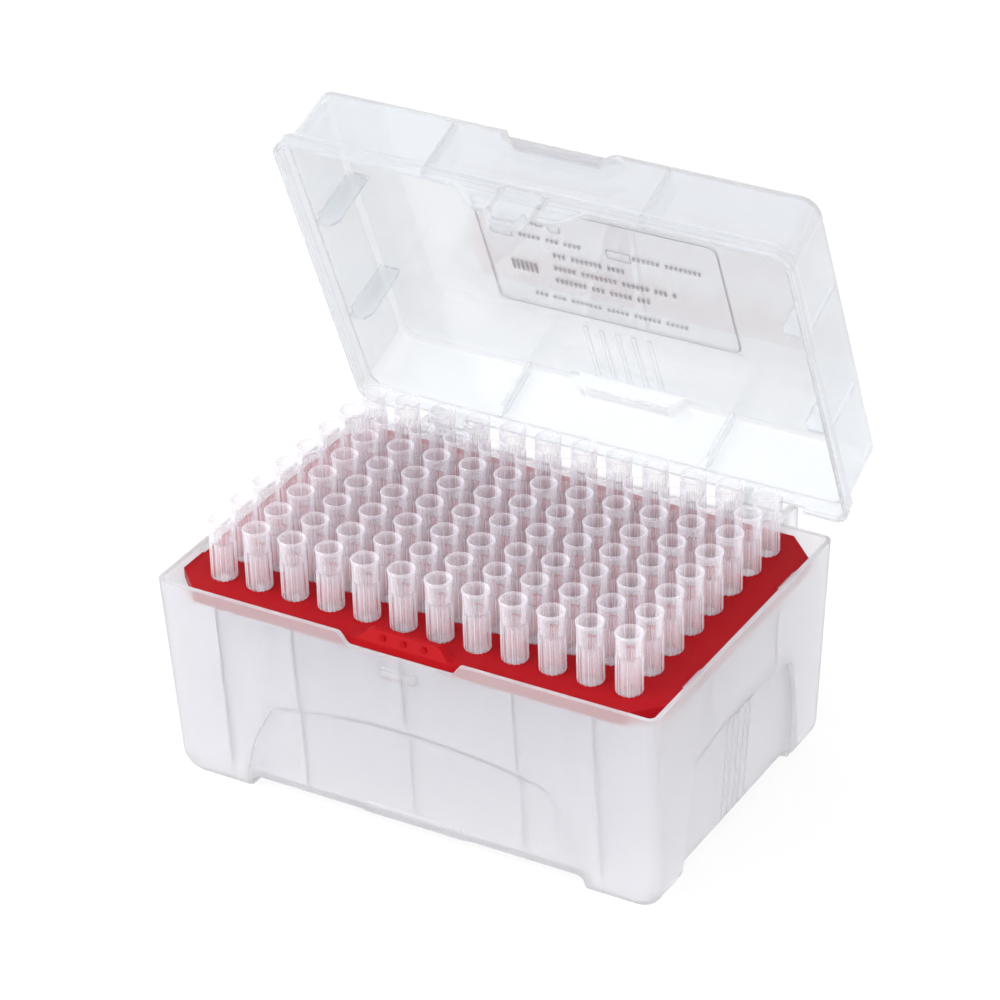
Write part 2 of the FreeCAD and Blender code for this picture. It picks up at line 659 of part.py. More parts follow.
def circle_outline(item, centre_x, centre_y, radius):
    place = FreeCAD.Vector(centre_x.value, centre_y.value, 0)
    edge = item.addGeometry(Part.Circle(place, FreeCAD.Vector(0, 0, 1), as_size(radius).value), False)
    for kind, amount in zip(("DistanceX", "DistanceY"), (centre_x, centre_y)):
        held = item.addConstraint(Sketcher.Constraint(kind, -1, 1, edge, 3, amount.value))
        item.setExpression(f"Constraints[{held}]", amount.formula)
    held = item.addConstraint(Sketcher.Constraint("Radius", edge, as_size(radius).value))
    item.setExpression(f"Constraints[{held}]", as_size(radius).formula)


def make_base():
    body = new_body("base")
    base_shell(body)
    base_ribs(body)
    base_panels(body)
    base_feet(body)
    base_rim(body)
    hinge_ears(body)
    return body


# Rack plate --------------------------------------------------------------------------------------


def octagon(item, half_x, half_y, corner):
    outline(item, [
        (corner - half_x, -half_y), (half_x - corner, -half_y), (half_x, corner - half_y),
        (half_x, half_y - corner), (half_x - corner, half_y), (corner - half_x, half_y),
        (-half_x, half_y - corner), (-half_x, corner - half_y),
    ])


def make_rack():
    """Skirted plate with one hole for each tip and a thumb tab at the front."""
    body = new_body("rack_plate")
    half_x, half_y = size.rack_length / 2, size.rack_width / 2
    sheet_outline = new_sketch(body, "rack_outline", "XY_Plane", rack_bottom)
    octagon(sheet_outline, half_x, half_y, size.rack_corner)
    pad(body, sheet_outline, size.rack_skirt)
    under = new_sketch(body, "rack_underside", "XY_Plane", rack_bottom)
    inner_corner = size.rack_corner - size.skirt_wall * (2 - math.sqrt(2))
    octagon(under, half_x - size.skirt_wall, half_y - size.skirt_wall, inner_corner)
    pocket(body, under, size.rack_skirt - size.rack_sheet, forwards=True)
    thumb_tab(body, half_y)
    first_x = size.tip_pitch * (-(TIP_COLUMNS - 1) / 2)
    first_y = size.tip_pitch * (-(TIP_ROWS - 1) / 2)
    hole = new_sketch(body, "tip_hole", "XY_Plane", rack_top + MARGIN)
    hexagon_outline(hole, first_x, first_y, size.shank_top + 2 * size.hole_clearance)
    first_hole = pocket(body, hole, size.rack_skirt + 2 * MARGIN)
    grid = body.newObject("PartDesign::MultiTransform", "tip_holes")
    along_x = pattern(body, "holes_along", "X_Axis", TIP_COLUMNS)
    along_y = pattern(body, "holes_across", "Y_Axis", TIP_ROWS)
    grid.Originals = [first_hole]
    grid.Transformations = [along_x, along_y]
    finish(body, grid)
    return body


def pattern(body, name, role, count):
    """Row of copies, one tip pitch apart, along an axis of the body."""
    item = body.newObject("PartDesign::LinearPattern", name)
    item.Direction = (origin_plane(body, role), [""])
    item.Occurrences = count
    bind(item, "Length", size.tip_pitch * (count - 1))
    return item


def thumb_tab(body, half_y):
    """Raised tab: a bent strip whose ends sweep down, with grip bumps on its sloped face."""
    crest = rack_top + size.tab_crest
    back = half_y - size.tab_run - size.tab_sheet
    tab = new_sketch(body, "thumb_tab", "XZ_Plane", back)
    low = rack_top - size.rack_sheet / 2
    right = sweep((size.tab_foot_half, rack_top), (size.tab_crest_half, crest))
    left = [(-across, level) for across, level in right][::-1]
    outline(tab, [(-size.tab_foot_half, low), (size.tab_foot_half, low)] + right + left)
    pad(body, tab, size.tab_sheet + size.tab_run)
    trim = new_sketch(body, "tab_slope", "YZ_Plane", -size.tab_foot_half - MARGIN)
    slope_end = rack_top - size.tab_lip
    outline(trim, [
        (-half_y - MARGIN, rack_top), (-half_y, rack_top), (-back - size.tab_sheet, crest),
        (-back - size.tab_sheet, crest + MARGIN), (-half_y - MARGIN, crest + MARGIN),
    ])
    pocket(body, trim, 2 * (size.tab_foot_half + MARGIN), forwards=True)
    lip = new_sketch(body, "tab_lip", "XZ_Plane", half_y - size.skirt_wall)
    box_outline(lip, -size.tab_foot_half, slope_end, size.tab_foot_half, rack_top)
    pad(body, lip, size.skirt_wall)
    bumps = new_sketch(body, "grip_bumps", "XZ_Plane", back + size.tab_sheet / 2)
    for number in (-1, 0, 1):
        hexagon_outline(bumps, size.grip_pitch * number, rack_top + size.tab_crest / 2,
                        2 * size.grip_radius)
    pad(body, bumps, size.tab_sheet / 2 + size.grip_proud)


# Tips and filters --------------------------------------------------------------------------------


tip_mouth_z = rack_top + size.tip_stand
tip_point_z = tip_mouth_z - size.tip_length
orifice = size.shank_end - 2 * size.point_wall
mouth = size.tip_collar - 2 * size.tip_wall
bore_slope = (mouth - orifice) / size.tip_length
shank_slope = (size.shank_top - size.shank_end) / (rack_top - tip_point_z)


def flat_slope(slope):
    """Lean of a flat of the hexagon, from the growth across its corners per height."""
    return slope * (math.cos(math.pi / FLATS) / 2)


def column_x(number):
    return size.tip_pitch * (number - (TIP_COLUMNS - 1) / 2)


def level_hexagon(body, name, z, number, across):
    """Hexagon of the first row in one column, flat at a height."""
    item = new_sketch(body, f"{body.Name}_{name}", "XY_Plane", z)
    hexagon_outline(item, column_x(number), size.tip_pitch * (-(TIP_ROWS - 1) / 2), across)
    return item


def repeat_rows(body):
    """Repeat the piece made so far along the column."""
    rows = pattern(body, f"{body.Name}_rows", "Y_Axis", TIP_ROWS)
    rows.TransformMode = "Whole shape"
    finish(body, rows)


def make_tip_column(number):
    """One column of tips: collar on the rack, tapering shank through it, tapering bore."""
    body = new_body(f"tips_column_{number + 1:02d}")
    collar = level_hexagon(body, "collar", rack_top, number, size.tip_collar)
    pad(body, collar, size.tip_stand)
    shank = level_hexagon(body, "shank", rack_top, number, size.shank_top)
    pad(body, shank, rack_top - tip_point_z, backwards=True)
    lean(body, f"{body.Name}_shank_taper", rack_top, flat_slope(shank_slope),
         spans(tip_point_z, rack_top), forwards=True)
    point = level_hexagon(body, "orifice", tip_point_z, number, orifice)
    pocket(body, point, size.tip_length, forwards=True)
    lean(body, f"{body.Name}_bore_taper", tip_point_z, flat_slope(bore_slope),
         spans(tip_point_z, tip_mouth_z))
    repeat_rows(body)
    return body


def make_filter_column(number):
    """One column of filter plugs, each the shape of the bore it sits in."""
    body = new_body(f"filters_column_{number + 1:02d}")
    high = tip_mouth_z - size.filter_depth
    low = high - size.filter_length
    bottom = level_hexagon(body, "bottom", low, number, orifice + bore_slope * (low - tip_point_z))
    pad(body, bottom, size.filter_length)
    lean(body, f"{body.Name}_taper", low, flat_slope(bore_slope), spans(low, high), forwards=True)
    repeat_rows(body)
    return body


# Lid ---------------------------------------------------------------------------------------------


lid_half_x = flange_half_x - size.lid_shrink
lid_half_y = flange_half_y - size.lid_shrink


def lid_x(z):
    """Outside of the lid's short walls at a height."""
    return lid_half_x - size.lid_draft * (z - wall_start)


def lid_y(z):
    """Outside of the lid's long walls at a height."""
    return lid_half_y - size.lid_draft * (z - wall_start)


def on_flange_side(box):
    """Whether a box reaches the outside of the flange."""
    reach_x = max(box.XMax, -box.XMin)
    reach_y = max(box.YMax, -box.YMin)
    return reach_x > flange_half_x.value - NEAR or reach_y > flange_half_y.value - NEAR


def lid_shell(body):
    """Leaning walls rounded on top, the flange with its slope round them, and the hollow."""
    walls = new_sketch(body, "walls", "XY_Plane", flange_edge)
    rounded_outline(walls, lid_x(flange_edge), lid_y(flange_edge), size.lid_corner)
    pad(body, walls, lid_top - flange_edge)
    lean(body, "wall_draft", flange_edge, size.lid_draft, spans(flange_edge, lid_top))
    fillet(body, "lid_top_edge", size.lid_edge_round, spans(lid_top, lid_top))
    flange = new_sketch(body, "flange", "XY_Plane", flange_edge)
    rounded_outline(flange, flange_half_x, flange_half_y, size.flange_corner)
    pad(body, flange, wall_start - flange_edge)
    flat = spans(wall_start, wall_start)
    chamfer(body, "flange_slope", size.lid_shrink - size.flange_step, size.flange_slope,
            lambda edge: flat(edge) and on_flange_side(edge.BoundBox))
    bead = new_sketch(body, "flange_bead", "XY_Plane", flange_edge)
    rounded_outline(bead, flange_half_x + size.bead_proud, flange_half_y + size.bead_proud,
                    size.flange_corner + size.bead_proud)
    pad(body, bead, size.bead_height)
    rim_space = new_sketch(body, "rim_space", "XY_Plane", flange_edge)
    rounded_outline(rim_space, flange_half_x - size.flange_wall, flange_half_y - size.flange_wall,
                    size.flange_corner - size.flange_wall)
    pocket(body, rim_space, lid_seat - flange_edge, forwards=True)
    ceiling = lid_top - size.lid_wall
    shrink = size.lid_wall + size.lid_draft * (ceiling - wall_start)
    hollow = new_sketch(body, "hollow", "XY_Plane", ceiling)
    rounded_outline(hollow, lid_half_x - shrink, lid_half_y - shrink, size.lid_corner - shrink)
    pocket(body, hollow, ceiling - lid_seat)
    lean(body, "hollow_draft", ceiling, size.lid_draft, spans(lid_seat, ceiling), forwards=True)


def lid_rib_corners(wall, inner_reach, reach):
    """Blade outline on the right: straight down from the ceiling, its inner lower corner cut off."""
    low = rack_top + size.hold_down_gap
    inside_rim = inner_reach - size.base_wall - 2 * size.lid_gap
    ceiling = lid_top - size.lid_wall / 2
    inner = inside_rim - reach
    step = lid_seat + size.lid_wall
    return [(inner + size.blade_slant_run, low), (inside_rim, low),
            (inside_rim, step - size.lid_wall / 2), (wall(step) - size.lid_wall / 2, step),
            (wall(ceiling) - size.lid_wall / 2, ceiling), (inner, ceiling),
            (inner, low + size.blade_slant_rise)]


def lid_ribs(body):
    """Blades on the long walls and on the short walls; their ends hold the rack down."""
    for number, place in enumerate((-size.lid_rib_place, size.lid_rib_place)):
        item = new_sketch(body, f"lid_long_rib_{number}", "YZ_Plane",
                          place - size.rib_thickness / 2)
        corners = lid_rib_corners(lid_y, half_width, size.side_blade_reach)
        outline(item, corners)
        outline(item, [(-y, z) for y, z in corners][::-1])
        pad(body, item, size.rib_thickness)
    for number, place in enumerate((-size.end_rib_place, size.end_rib_place)):
        item = new_sketch(body, f"lid_short_rib_{number}", "XZ_Plane",
                          place - size.rib_thickness / 2)
        corners = lid_rib_corners(lid_x, half_length, size.end_blade_reach)
        outline(item, corners)
        outline(item, [(-x, z) for x, z in corners][::-1])
        pad(body, item, size.rib_thickness)


def lid_notches(body):
    """Stacking notches in the top edge, front and back, one wall thick all round."""
    bottom = lid_top - size.lid_notch_height
    face = lid_y(lid_top) - size.lid_notch_reach
    grow = size.lid_wall
    back = new_sketch(body, "notch_back", "XZ_Plane", face - grow)
    notch_outline(back, size.lid_notch_half + grow, bottom - grow, lid_top - grow / 2)
    inside = pad(body, back, size.lid_notch_reach + grow / 2)
    front = new_sketch(body, "notch_face", "XZ_Plane", face)
    notch_outline(front, size.lid_notch_half, bottom, lid_top + 2 * MARGIN)
    outside = pocket(body, front, size.lid_notch_reach + MARGIN, forwards=True)
    mirror(body, "notch_other_side", [inside, outside], "XZ_Plane")


def notch_outline(item, half, low, high):
    slope = size.lid_notch_slope / size.lid_notch_height
    top = half + slope * (high - low)
    outline(item, [(-half, low), (half, low), (top, high), (-top, high)])


def lid_ridges(body):
    """Grip ridges on the top, in front of the back notch."""
    ridges = new_sketch(body, "ridges", "XY_Plane", lid_top - size.lid_wall / 2)
    back = lid_y(lid_top) - size.lid_notch_reach
    for number in (-2, -1, 0, 1, 2):
        left = size.ridge_pitch * number - size.ridge_width / 2
        box_outline(ridges, left, back - size.ridge_length, left + size.ridge_width, back)
    pad(body, ridges, size.lid_wall / 2 + size.ridge_proud)


def lid_latch(body):
    """Apron on the front flange, and a slotted tongue that springs over the catch bar."""
    inner = flange_half_y - size.flange_wall
    apron = new_sketch(body, "apron", "XZ_Plane", inner)
    low = flange_edge - size.apron_drop
    middle = flange_edge + size.flange_wall
    outline(apron, swept_outline(size.apron_half, low, size.apron_slope, flange_edge, middle))
    pad(body, apron, size.flange_wall)
    bead = new_sketch(body, "apron_bead", "XZ_Plane", inner)
    right = sweep((size.apron_half, low), (size.apron_half + size.apron_slope, flange_edge))
    edge = [(-across, level) for across, level in right][::-1] + right
    outline(bead, edge + [(across, level + size.bead_height) for across, level in edge][::-1])
    pad(body, bead, size.flange_wall + size.bead_proud)
    slots = new_sketch(body, "latch_slots", "XZ_Plane", inner - size.lid_gap / 2)
    slot_top = flange_edge + size.latch_slot_rise
    outer = size.latch_half + size.latch_slot
    box_outline(slots, size.latch_half, low - MARGIN, outer, slot_top)
    box_outline(slots, -outer, low - MARGIN, -size.latch_half, slot_top)
    pocket(body, slots, MARGIN, forwards=True)
    catch_nose = wall_y(rim - size.catch_drop) + size.catch_proud
    tongue_inner = catch_nose + size.latch_gap
    relief = new_sketch(body, "latch_relief", "XZ_Plane", inner - size.lid_gap / 2)
    box_outline(relief, -size.latch_half, low - MARGIN, size.latch_half, flange_edge)
    pocket(body, relief, tongue_inner - inner + size.lid_gap / 2, forwards=True)
    tongue = new_sketch(body, "tongue", "XZ_Plane", tongue_inner)
    end = flange_edge - size.latch_drop
    half, turn = size.latch_half, size.latch_round
    bow = turn * ARC_BOW
    outline(tongue, [(turn - half, end), (half - turn, end, bow), (half, end + turn),
                     (half, slot_top), (-half, slot_top), (-half, end + turn, bow)])
    pad(body, tongue, size.flange_wall)
    lip = new_sketch(body, "thumb_lip", "XZ_Plane", tongue_inner)
    thick, leg = size.latch_lip_height, end + size.latch_lip_leg
    outline(lip, [(turn - half, end), (half - turn, end, bow), (half, end + turn), (half, leg),
                  (half - thick, leg), (half - thick, end + turn), (half - turn, end + thick),
                  (turn - half, end + thick), (thick - half, end + turn), (thick - half, leg),
                  (-half, leg), (-half, end + turn, bow)])
    pad(body, lip, size.flange_wall + size.latch_lip)


def lid_knuckles(body):
    """Relief in the back flange and two open knuckles that turn on the base's pins."""
    relief = new_sketch(body, "back_relief", "XZ_Plane", -flange_half_y + 2 * size.flange_wall)
    relief_top = flange_edge + size.back_relief_rise
    box_outline(relief, -size.back_relief_half, flange_edge - MARGIN, size.back_relief_half,
                relief_top)
    pocket(body, relief, MARGIN)
    reach = size.knuckle_radius / 2
    arm = [
        (flange_half_y - size.flange_wall / 2, relief_top), (hinge_y - reach, hinge_z - reach),
        (hinge_y - reach / 2, hinge_z + size.knuckle_radius * ARM_RISE), (flange_half_y - size.flange_wall / 2, flange_top),
    ]
    for number, middle in enumerate((-size.hinge_place, size.hinge_place)):
        start = middle - size.knuckle_length / 2
        web = new_sketch(body, f"arm_{number}", "YZ_Plane", start)
        outline(web, arm)
        pad(body, web, size.knuckle_length)
        ring = new_sketch(body, f"knuckle_{number}", "YZ_Plane", start)
        circle_outline(ring, hinge_y, hinge_z, size.knuckle_radius)
        pad(body, ring, size.knuckle_length)
        bore = new_sketch(body, f"bore_{number}", "YZ_Plane", start)
        circle_outline(bore, hinge_y, hinge_z, size.pin_radius + size.pin_gap)
        pocket(body, bore, size.knuckle_length, forwards=True)
        mouth = new_sketch(body, f"mouth_{number}", "YZ_Plane", start)
        box_outline(mouth, hinge_y - size.knuckle_mouth / 2, hinge_z - MARGIN,
                    hinge_y + size.knuckle_mouth / 2, hinge_z)
        pocket(body, mouth, size.knuckle_length, forwards=True)


def swing_open(body):
    """Place a piece modelled closed at the opening in which the lid is left."""
    turn = FreeCAD.Rotation(FreeCAD.Vector(-1, 0, 0), size.open_angle.value)
    body.Placement = FreeCAD.Placement(FreeCAD.Vector(0, 0, 0), turn)
    cos_open, sin_open = cosine(size.open_angle), sine(size.open_angle)
    bind(body, "Placement.Rotation.Angle", size.open_angle)
    bind(body, "Placement.Base.y", hinge_y - (cos_open * hinge_y + sin_open * hinge_z))
    bind(body, "Placement.Base.z", hinge_z - (cos_open * hinge_z - sin_open * hinge_y))
    doc.recompute()


def make_lid():
    body = new_body("lid")
    lid_shell(body)
    lid_ribs(body)
    lid_notches(body)
    lid_ridges(body)
    lid_latch(body)
    lid_knuckles(body)
    swing_open(body)
    return body


def make_label():
    """Film label on the outside of the lid's top."""
    body = new_body("label")
    film = new_sketch(body, "film", "XY_Plane", lid_top)
    half_x, half_y = size.label_length / 2, size.label_width / 2
    box_outline(film, size.label_shift - half_x, -half_y, size.label_shift + half_x, half_y)
    pad(body, film, size.label_sheet)
    swing_open(body)
    return body


pieces = [make_base(), make_rack(), make_lid(), make_label()]
pieces += [make_tip_column(number) for number in range(TIP_COLUMNS)]
pieces += [make_filter_column(number) for number in range(TIP_COLUMNS)]
doc.recompute()

failed = [item.Name for item in doc.Objects if "Invalid" in item.State or "Error" in item.State]
if failed:
    raise RuntimeError("these did not build: " + ", ".join(failed))
for piece in pieces:
    if piece.Shape.isNull() or not piece.Shape.isValid():
        raise RuntimeError(f"{piece.Label} has no valid solid")
for piece in pieces:
    piece.Shape.exportStep(f"parts/{piece.Label}.step")
    print(piece.Label, len(piece.Shape.Solids), "solids", round(piece.Shape.Volume / 1000, 3), "cm3")
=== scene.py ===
import json
import math

import bmesh
import bpy
import numpy as np
from mathutils import Matrix, Vector


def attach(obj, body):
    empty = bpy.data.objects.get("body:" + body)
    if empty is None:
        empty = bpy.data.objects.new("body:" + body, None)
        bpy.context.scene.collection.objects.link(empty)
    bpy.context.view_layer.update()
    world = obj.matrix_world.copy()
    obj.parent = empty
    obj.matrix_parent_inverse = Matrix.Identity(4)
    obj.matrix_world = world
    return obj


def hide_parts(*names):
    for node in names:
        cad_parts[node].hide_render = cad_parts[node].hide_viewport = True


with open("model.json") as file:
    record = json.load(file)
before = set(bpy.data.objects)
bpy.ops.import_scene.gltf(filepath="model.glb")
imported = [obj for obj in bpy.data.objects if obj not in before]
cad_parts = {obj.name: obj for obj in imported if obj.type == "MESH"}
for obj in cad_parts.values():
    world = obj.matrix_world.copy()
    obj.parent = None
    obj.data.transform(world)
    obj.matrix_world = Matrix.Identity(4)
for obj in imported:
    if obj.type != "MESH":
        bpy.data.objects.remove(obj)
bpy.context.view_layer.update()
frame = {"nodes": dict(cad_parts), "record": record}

MM = 0.001

# Camera and light ---------------------------------------------------------------------------------

CAMERA_PLACE = Vector((397.4, -675.7, 520.8)) * MM
CAMERA_AZIMUTH = math.radians(-59.625)
CAMERA_ELEVATION = math.radians(30.187)
CAMERA_ROLL = math.radians(-1.488)
LENS = 152.18
SENSOR = 36.0
CLIP_START, CLIP_END = 0.05, 20.0
LIGHT_AIM = (0.0, 0.0, 0.05)
BOUNCES, CLEAR_BOUNCES, PLAIN_BOUNCES = 12, 32, 3
FLOOR_REACH, FLOOR_HEIGHT = 6.0, -0.0002
FLOOR_GLOW = 0.84


def add_camera():
    """Camera whose back looks along azimuth and elevation, then turned by its roll."""
    back = Vector((math.cos(CAMERA_ELEVATION) * math.cos(CAMERA_AZIMUTH),
                   math.cos(CAMERA_ELEVATION) * math.sin(CAMERA_AZIMUTH),
                   math.sin(CAMERA_ELEVATION)))
    level_right = Vector((-math.sin(CAMERA_AZIMUTH), math.cos(CAMERA_AZIMUTH), 0.0))
    level_up = back.cross(level_right)
    right = level_right * math.cos(CAMERA_ROLL) + level_up * math.sin(CAMERA_ROLL)
    up = back.cross(right)
    data = bpy.data.cameras.new("camera")
    data.lens = LENS
    data.sensor_width = SENSOR
    data.clip_start = CLIP_START
    data.clip_end = CLIP_END
    camera = bpy.data.objects.new("camera", data)
    camera.matrix_world = Matrix((
        (right.x, up.x, back.x, CAMERA_PLACE.x),
        (right.y, up.y, back.y, CAMERA_PLACE.y),
        (right.z, up.z, back.z, CAMERA_PLACE.z),
        (0.0, 0.0, 0.0, 1.0)))
    bpy.context.collection.objects.link(camera)
    bpy.context.scene.camera = camera


def add_world(brightness):
    """Plain white light from all sides."""
    world = bpy.data.worlds.new("studio")
    world.use_nodes = True
    sky = world.node_tree.nodes["Background"]
    sky.inputs["Color"].default_value = (1.0, 1.0, 1.0, 1.0)
    sky.inputs["Strength"].default_value = brightness
    bpy.context.scene.world = world


def set_light_paths():
    """Plain tones, and enough bounces for light to pass the many layers of clear plastic."""
    bpy.context.scene.view_settings.view_transform = "Standard"
    paths = bpy.context.scene.cycles
    paths.max_bounces = BOUNCES
    paths.transmission_bounces = BOUNCES
    paths.glossy_bounces = PLAIN_BOUNCES
    paths.diffuse_bounces = PLAIN_BOUNCES
    paths.transparent_max_bounces = CLEAR_BOUNCES


def add_soft_box(name, place, side, power, tint):
    """Square area light at a place, turned to face the middle of the part."""
    data = bpy.data.lights.new(name, "AREA")
    data.shape = "RECTANGLE"
    data.size = side
    data.size_y = side
    data.energy = power
    data.color = tint
    lamp = bpy.data.objects.new(name, data)
    lamp.location = place
    lamp.rotation_euler = (Vector(LIGHT_AIM) - Vector(place)).to_track_quat("-Z", "Y").to_euler()
    bpy.context.collection.objects.link(lamp)


def add_floor(material):
    """Plain floor, a square far wider than the part, just under its feet."""
    corners = [(x * FLOOR_REACH, y * FLOOR_REACH, FLOOR_HEIGHT)
               for x, y in ((-1, -1), (1, -1), (1, 1), (-1, 1))]
    mesh = bpy.data.meshes.new("floor")
    mesh.from_pydata(corners, [], [(0, 1, 2, 3)])
    mesh.materials.append(material)
    floor = bpy.data.objects.new("floor", mesh)
    bpy.context.collection.objects.link(floor)


# Surfaces -----------------------------------------------------------------------------------------

SHARP_EDGE = math.radians(24.0)
PIECE_DOUBLES = 1e-7


def closed_grid_faces(tubes, along, around):
    """Quads of several tubes whose grids close both along their section and around their axis.

    Corner (i, j) of a tube joins (i + 1, j), (i + 1, j + 1) and (i, j + 1), counted modulo the
    grid's size, so the surface has no border.
    """
    i, j = np.meshgrid(np.arange(along), np.arange(around), indexing="ij")
    next_i, next_j = (i + 1) % along, (j + 1) % around
    one = np.stack((i * around + j, i * around + next_j, next_i * around + next_j,
                    next_i * around + j), axis=-1).reshape(-1, 4)
    return (one[None] + (np.arange(tubes) * along * around)[:, None, None]).reshape(-1, 4)


def capped_grid_faces(solids, rings, around):
    """Quads between the rings of several solids whose first and last rings close to points.

    Ring i joins ring i + 1 and the turn closes on itself; the end rings have no size, so the quads
    there are triangles once the doubled corners are merged.
    """
    i, j = np.meshgrid(np.arange(rings - 1), np.arange(around), indexing="ij")
    next_j = (j + 1) % around
    one = np.stack((i * around + j, (i + 1) * around + j, (i + 1) * around + next_j,
                    i * around + next_j), axis=-1).reshape(-1, 4)
    return (one[None] + (np.arange(solids) * rings * around)[:, None, None]).reshape(-1, 4)


def merge_doubles(mesh, reach):
    """Join corners nearer than a reach, and turn all faces outwards."""
    work = bmesh.new()
    work.from_mesh(mesh)
    bmesh.ops.remove_doubles(work, verts=work.verts, dist=reach)
    bmesh.ops.dissolve_degenerate(work, edges=work.edges, dist=reach)
    bmesh.ops.recalc_face_normals(work, faces=work.faces)
    work.to_mesh(mesh)
    work.free()


def add_piece(name, points, faces, material, body):
    """Mesh piece with smooth faces and sharp creases that rides on a body."""
    mesh = bpy.data.meshes.new(name)
    mesh.from_pydata(points.reshape(-1, 3), [], faces)
    merge_doubles(mesh, PIECE_DOUBLES)
    mesh.materials.append(material)
    mesh.polygons.foreach_set("use_smooth", np.ones(len(mesh.polygons), dtype=bool))
    mesh.set_sharp_from_angle(angle=SHARP_EDGE)
    piece = bpy.data.objects.new(name, mesh)
    bpy.context.collection.objects.link(piece)
    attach(piece, body)
    return piece


# Tips: all sizes in millimetres -------------------------------------------------------------------

PITCH = 9.0
ROWS, COLUMNS = 8, 12
TIP_SIDES, PLUG_SIDES = 64, 16
OUTER_RIBS, INNER_RIBS, INNER_RIB_STEPS = 16, 8, 2
SEAT = 49.0
LEAN_SEED, LEAN_SPREAD, LEAN_MOST = 7, 0.008, 0.02
PLUG_TOP, PLUG_BOTTOM = 45.0, 38.0
PLUG_TOP_RADIUS, PLUG_BOTTOM_RADIUS = 1.80, 1.50
PLUG_EDGE, PLUG_FACE = 0.15, 0.92

# Section of a tip wall, down the outside and up the bore: height, radius, depth of the outer
# ribs' grooves, and how far the inner ribs stand into the bore.
TIP_SECTION = np.array((
    (63.40, 2.96, 0.00, 0.00), (63.28, 3.06, 0.00, 0.00), (62.78, 3.07, 0.00, 0.00),
    (62.62, 2.96, 0.00, 0.00), (60.00, 2.94, 0.00, 0.00), (57.95, 2.93, 0.00, 0.00),
    (57.70, 3.00, 0.32, 0.00), (53.40, 2.99, 0.32, 0.00), (49.35, 2.98, 0.32, 0.00),
    (49.00, 2.76, 0.20, 0.00), (48.98, 2.42, 0.00, 0.00), (34.00, 1.74, 0.00, 0.00),
    (20.00, 1.08, 0.00, 0.00), (7.60, 0.52, 0.00, 0.00), (7.40, 0.45, 0.00, 0.00),
    (7.42, 0.30, 0.00, 0.00), (20.00, 0.78, 0.00, 0.00), (34.00, 1.36, 0.00, 0.00),
    (48.00, 1.95, 0.00, 0.00), (57.30, 1.98, 0.00, 0.00), (57.50, 2.06, 0.00, 0.00),
    (58.10, 2.46, 0.00, 0.26), (60.20, 2.56, 0.00, 0.05), (60.60, 2.58, 0.00, 0.00),
    (63.10, 2.66, 0.00, 0.00), (63.38, 2.74, 0.00, 0.00)))


def ribbed_wall(section):
    """Tip wall about its axis: radius = section radius - groove - inner rib, at each turn.

    The groove is the groove depth times a square wave of OUTER_RIBS periods round the axis; the
    inner rib is the rib height times a narrow pulse of INNER_RIBS periods.
    """
    turn = np.arange(TIP_SIDES)
    step = TIP_SIDES // OUTER_RIBS
    groove = (turn % step >= step / 2).astype(float)
    pulse = (turn % (TIP_SIDES // INNER_RIBS) < INNER_RIB_STEPS).astype(float)
    angle = turn * (2 * np.pi / TIP_SIDES)
    height, radius, depth, rise = section.T
    radius = radius[:, None] - depth[:, None] * groove - rise[:, None] * pulse
    return np.stack((radius * np.cos(angle), radius * np.sin(angle),
                     np.repeat(height[:, None], TIP_SIDES, axis=1)), axis=-1)


def stand_in_rows(shape, column, lean):
    """Copies of a shape in one column, each leaned about the middle of its hole, in metres.

    Point = R (shape - seat) + seat + place, where R tips the axis by two small angles.
    """
    places = np.zeros((ROWS, 3))
    places[:, 0] = PITCH * (column - (COLUMNS - 1) / 2)
    places[:, 1] = PITCH * (np.arange(ROWS) - (ROWS - 1) / 2)
    seat = np.array((0.0, 0.0, SEAT))
    tipped = np.repeat((shape - seat)[None], ROWS, axis=0)
    up = tipped[..., 2].copy()
    for axis in (0, 1):
        slope = lean[:, axis, None, None]
        tipped[..., axis] = tipped[..., axis] + slope * up
        tipped[..., 2] = tipped[..., 2] - slope * tipped[..., axis]
    return (tipped + seat + places[:, None, None]) * MM


def felt_plug():
    """Filter plug: rings of a truncated cone, drawn in to a point at the middle of both faces."""
    angle = np.arange(PLUG_SIDES) * (2 * np.pi / PLUG_SIDES)
    height = np.array((PLUG_TOP, PLUG_TOP, PLUG_TOP - PLUG_EDGE,
                       PLUG_BOTTOM + PLUG_EDGE, PLUG_BOTTOM, PLUG_BOTTOM))
    radius = np.array((0.0, PLUG_TOP_RADIUS * PLUG_FACE, PLUG_TOP_RADIUS,
                       PLUG_BOTTOM_RADIUS, PLUG_BOTTOM_RADIUS * PLUG_FACE, 0.0))
    return np.stack((radius[:, None] * np.cos(angle), radius[:, None] * np.sin(angle),
                     np.repeat(height[:, None], PLUG_SIDES, axis=1)), axis=-1)


def add_tips(plastic, felt):
    """Twelve columns of eight ribbed tips, and the plugs inside them."""
    wall = ribbed_wall(TIP_SECTION)
    filter_plug = felt_plug()
    wall_faces = closed_grid_faces(ROWS, len(TIP_SECTION), TIP_SIDES)
    plug_faces = capped_grid_faces(ROWS, len(filter_plug), PLUG_SIDES)
    chance = np.random.default_rng(LEAN_SEED)
    for column in range(COLUMNS):
        lean = chance.normal(0.0, LEAN_SPREAD, (ROWS, 2)).clip(-LEAN_MOST, LEAN_MOST)
        number = f"{column + 1:02d}"
        tips = add_piece(f"ribbed_tips_{number}", stand_in_rows(wall, column, lean), wall_faces,
                         plastic, "box")
        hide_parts(f"tips_column_{number}")
        plugs = add_piece(f"filter_plugs_{number}", stand_in_rows(filter_plug, column, lean),
                          plug_faces, felt, "box")
        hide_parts(f"filters_column_{number}")


# Base and lid -------------------------------------------------------------------------------------

